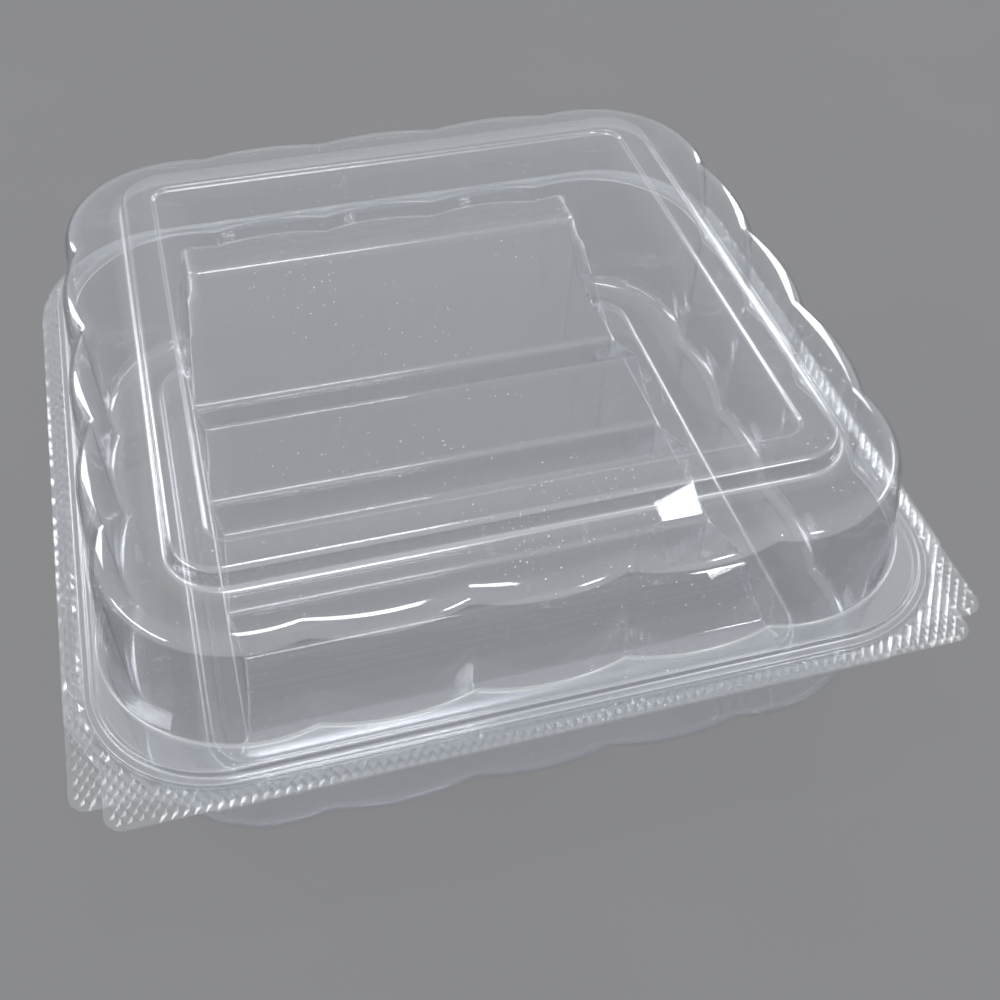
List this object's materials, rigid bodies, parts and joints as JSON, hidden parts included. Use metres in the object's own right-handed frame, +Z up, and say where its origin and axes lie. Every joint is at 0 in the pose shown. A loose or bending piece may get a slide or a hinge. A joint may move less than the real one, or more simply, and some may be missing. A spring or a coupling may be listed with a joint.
{
  "type": "hinged clear food pack",
  "caption": "Clear square food pack with a scalloped base and a domed lid hinged along one edge, closed.",
  "frame": {"origin": "middle of the closed pack's footprint, on the surface that the pack stands on", "axes": "+Z up, +Y from the front edge with the finger tabs towards the hinge, +X to the right seen from the front"},
  "size_m": [0.2, 0.2, 0.0707],
  "materials": {
    "clear_sheet": "clear, glossy, faintly blue",
    "clear_sheet_lid": "clear, glossy, faintly blue"
  },
  "bodies": {
    "base": {"base_tray": "clear_sheet"},
    "lid": {"lid": "clear_sheet_lid"}
  },
  "joints": [
    {"name": "lid_hinge", "type": "hinge", "parent": "base", "child": "lid", "pos_m": [0, 0.1, 0.03615], "axis": [-1, 0, 0], "range_deg": [0, 180]}
  ]
}
